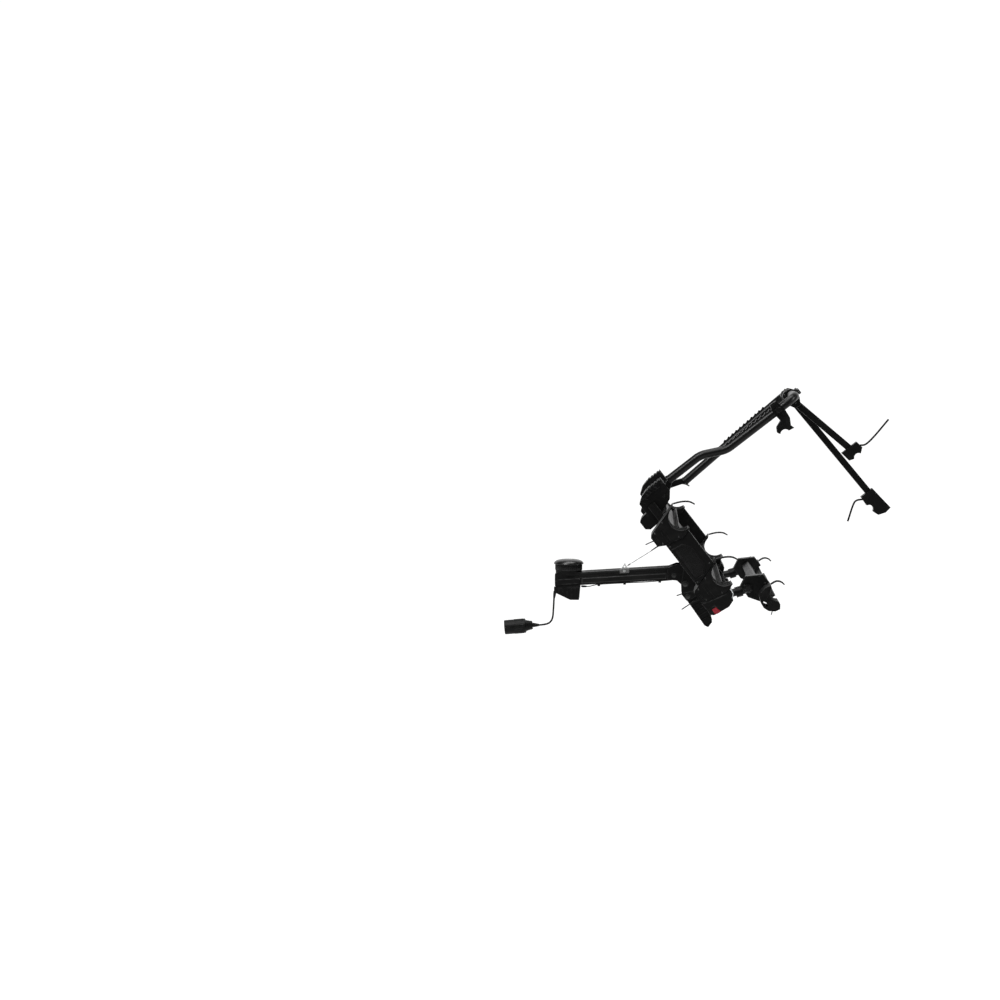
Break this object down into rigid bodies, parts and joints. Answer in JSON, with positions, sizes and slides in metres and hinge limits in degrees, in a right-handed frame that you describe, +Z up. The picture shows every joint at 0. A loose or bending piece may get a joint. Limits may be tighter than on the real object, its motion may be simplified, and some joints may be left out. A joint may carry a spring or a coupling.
{
  "type": "tow ball bike rack",
  "caption": "Tow-ball bicycle rack on a coupling arm, tilted back on its pivot, with wheel trays, tubular mast, frame-holding arms, lamps and rear add-on tray.",
  "frame": {"origin": "centre of the tow ball's seat in the coupling head", "axes": "+X rearwards from the car, +Y to the car's right, +Z up; the stored pose is the tilted loading pose"},
  "size_m": [1.4722, 1.2, 0.9454],
  "materials": {
    "black_aluminium": "black powder coat, satin",
    "black_steel": "black powder coat, satin",
    "black_plastic": "moulded, fine texture",
    "black_rubber": "matt",
    "bright_steel": "zinc plated",
    "white_plastic": "satin",
    "grey_plastic": "satin",
    "red_lens": "clear red, gloss"
  },
  "bodies": {
    "hitch": {"coupling_arm": "black_aluminium", "coupling_head": "black_plastic", "arm_end_cap": "black_plastic", "knob_collar": "black_plastic", "pivot_bracket_near": "black_steel", "pivot_bracket_far": "black_steel", "bracket_bolt": "bright_steel", "pivot_shaft": "bright_steel", "hook_clamp": "grey_plastic", "cable_hook": "white_plastic", "lamp_loom": "black_rubber", "loom_clip_1": "black_plastic", "loom_clip_2": "black_plastic", "loom_clip_3": "black_plastic", "plug_cord": "black_rubber", "plug": "black_plastic", "stop_cable": "bright_steel"},
    "knob": {"clamp_knob": "black_plastic", "clamp_spindle": "bright_steel"},
    "pad": {"ball_pad": "bright_steel"},
    "platform": {"frame": "black_aluminium", "tray_1": "black_aluminium", "tray_2": "black_aluminium", "wheel_holder_1_near": "black_plastic", "wheel_holder_1_far": "black_plastic", "wheel_holder_2_near": "black_plastic", "wheel_holder_2_far": "black_plastic", "wheel_holder_3_near": "black_plastic", "wheel_holder_3_far": "black_plastic", "side_panel_near": "black_plastic", "side_panel_far": "black_plastic", "lamp_housing_near": "black_plastic", "lamp_housing_far": "black_plastic", "lamp_lens_near": "red_lens", "lamp_lens_far": "red_lens", "mast_foot_near": "black_plastic", "mast_foot_far": "black_plastic", "mast_pin_near": "bright_steel", "mast_pin_far": "bright_steel", "plate_carrier": "black_plastic", "pedal_pin": "bright_steel", "adapter": "black_aluminium"},
    "pedal": {"foot_pedal": "black_plastic"},
    "mast": {"mast": "black_aluminium"},
    "arm_1": {"holder_arm_1": "black_plastic"},
    "arm_2": {"holder_arm_2": "black_plastic"},
    "arm_3": {"holder_arm_3": "black_plastic"},
    "knob_1": {"arm_knob_1": "black_plastic"},
    "knob_2": {"arm_knob_2": "black_plastic"},
    "knob_3": {"arm_knob_3": "black_plastic"},
    "claw_2_body": {"claw_2": "black_plastic"},
    "claw_3_body": {"claw_3": "black_plastic"},
    "adapter_knob_near_body": {"adapter_knob_near": "black_plastic"},
    "adapter_knob_far_body": {"adapter_knob_far": "black_plastic"},
    "strap_1_near_body": {"strap_1_near": "black_rubber"},
    "strap_1_far_body": {"strap_1_far": "black_rubber"},
    "strap_2_near_body": {"strap_2_near": "black_rubber"},
    "strap_2_far_body": {"strap_2_far": "black_rubber"},
    "strap_3_near_body": {"strap_3_near": "black_rubber"},
    "strap_3_far_body": {"strap_3_far": "black_rubber"}
  },
  "joints": [
    {"name": "clamp_knob_turn", "type": "hinge", "parent": "hitch", "child": "knob", "pos_m": [0.012, 0, 0.08], "axis": [0, 0, 1], "range_deg": [0, 720]},
    {"name": "ball_pad_lift", "type": "slide", "parent": "hitch", "child": "pad", "axis": [0, 0, 1], "range_m": [0, 0.0071]},
    {"name": "platform_tilt", "type": "hinge", "parent": "hitch", "child": "platform", "pos_m": [0.455, 0, 0.016], "axis": [0, 1, 0], "range_deg": [-52, 0], "deforming": ["stop_cable"]},
    {"name": "pedal_press", "type": "hinge", "parent": "platform", "child": "pedal", "pos_m": [0.46475, 0, -0.03222], "axis": [0, 1, 0], "range_deg": [0, 12], "stiffness_Nm_per_rad": 4, "springref_deg": -6.88},
    {"name": "mast_fold", "type": "hinge", "parent": "platform", "child": "mast", "pos_m": [0.37311, 0, 0.36445], "axis": [0, 1, 0], "range_deg": [0, 60]},
    {"name": "arm_1_swivel", "type": "hinge", "parent": "mast", "child": "arm_1", "pos_m": [0.7828, -0.28, 0.67819], "axis": [0.788, 0, 0.6157], "range_deg": [-40, 40]},
    {"name": "arm_2_swing", "type": "hinge", "parent": "mast", "child": "arm_2", "pos_m": [0.849, 0, 0.72991], "axis": [0, 1, 0], "range_deg": [-15, 15]},
    {"name": "arm_3_swing", "type": "hinge", "parent": "mast", "child": "arm_3", "pos_m": [0.849, 0, 0.72991], "axis": [0, 1, 0], "range_deg": [-15, 15]},
    {"name": "claw_2_turn", "type": "hinge", "parent": "arm_2", "child": "claw_2_body", "pos_m": [1.06685, 0, 0.53147], "axis": [0.6157, 0, -0.788], "range_deg": [-90, 90]},
    {"name": "claw_3_turn", "type": "hinge", "parent": "arm_3", "child": "claw_3_body", "pos_m": [1.15116, 0.11, 0.3594], "axis": [0.6157, 0, -0.788], "range_deg": [-90, 90]},
    {"name": "arm_knob_1_turn", "type": "hinge", "parent": "arm_1", "child": "knob_1", "pos_m": [0.78517, -0.31, 0.68004], "axis": [0, 1, 0], "continuous": true},
    {"name": "arm_knob_2_turn", "type": "hinge", "parent": "arm_2", "child": "knob_2", "pos_m": [0.87695, 0, 0.74286], "axis": [0.788, 0, 0.6157], "continuous": true},
    {"name": "arm_knob_3_turn", "type": "hinge", "parent": "arm_3", "child": "knob_3", "pos_m": [0.87695, 0.11, 0.74286], "axis": [0.788, 0, 0.6157], "continuous": true},
    {"name": "adapter_knob_near_turn", "type": "hinge", "parent": "platform", "child": "adapter_knob_near_body", "pos_m": [0.67791, -0.37, 0.0328], "axis": [0, 1, 0], "continuous": true},
    {"name": "adapter_knob_far_turn", "type": "hinge", "parent": "platform", "child": "adapter_knob_far_body", "pos_m": [0.67791, 0.37, 0.0328], "axis": [0, 1, 0], "continuous": true},
    {"name": "strap_1_near_open", "type": "hinge", "parent": "platform", "child": "strap_1_near_body", "pos_m": [0.4014, -0.535, 0.35293], "axis": [0, 1, 0], "range_deg": [-60, 0]},
    {"name": "strap_1_far_open", "type": "hinge", "parent": "platform", "child": "strap_1_far_body", "pos_m": [0.4014, 0.535, 0.35293], "axis": [0, 1, 0], "range_deg": [-60, 0]},
    {"name": "strap_2_near_open", "type": "hinge", "parent": "platform", "child": "strap_2_near_body", "pos_m": [0.55532, -0.535, 0.15593], "axis": [0, 1, 0], "range_deg": [-60, 0]},
    {"name": "strap_2_far_open", "type": "hinge", "parent": "platform", "child": "strap_2_far_body", "pos_m": [0.55532, 0.535, 0.15593], "axis": [0, 1, 0], "range_deg": [-60, 0]},
    {"name": "strap_3_near_open", "type": "hinge", "parent": "platform", "child": "strap_3_near_body", "pos_m": [0.75389, -0.45, 0.05916], "axis": [0, 1, 0], "range_deg": [-60, 0]},
    {"name": "strap_3_far_open", "type": "hinge", "parent": "platform", "child": "strap_3_far_body", "pos_m": [0.75389, 0.45, 0.05916], "axis": [0, 1, 0], "range_deg": [-60, 0]}
  ],
  "couplings": [
    {"joint": "ball_pad_lift", "follows": "clamp_knob_turn", "m_per_rad": 0.00055704}
  ]
}
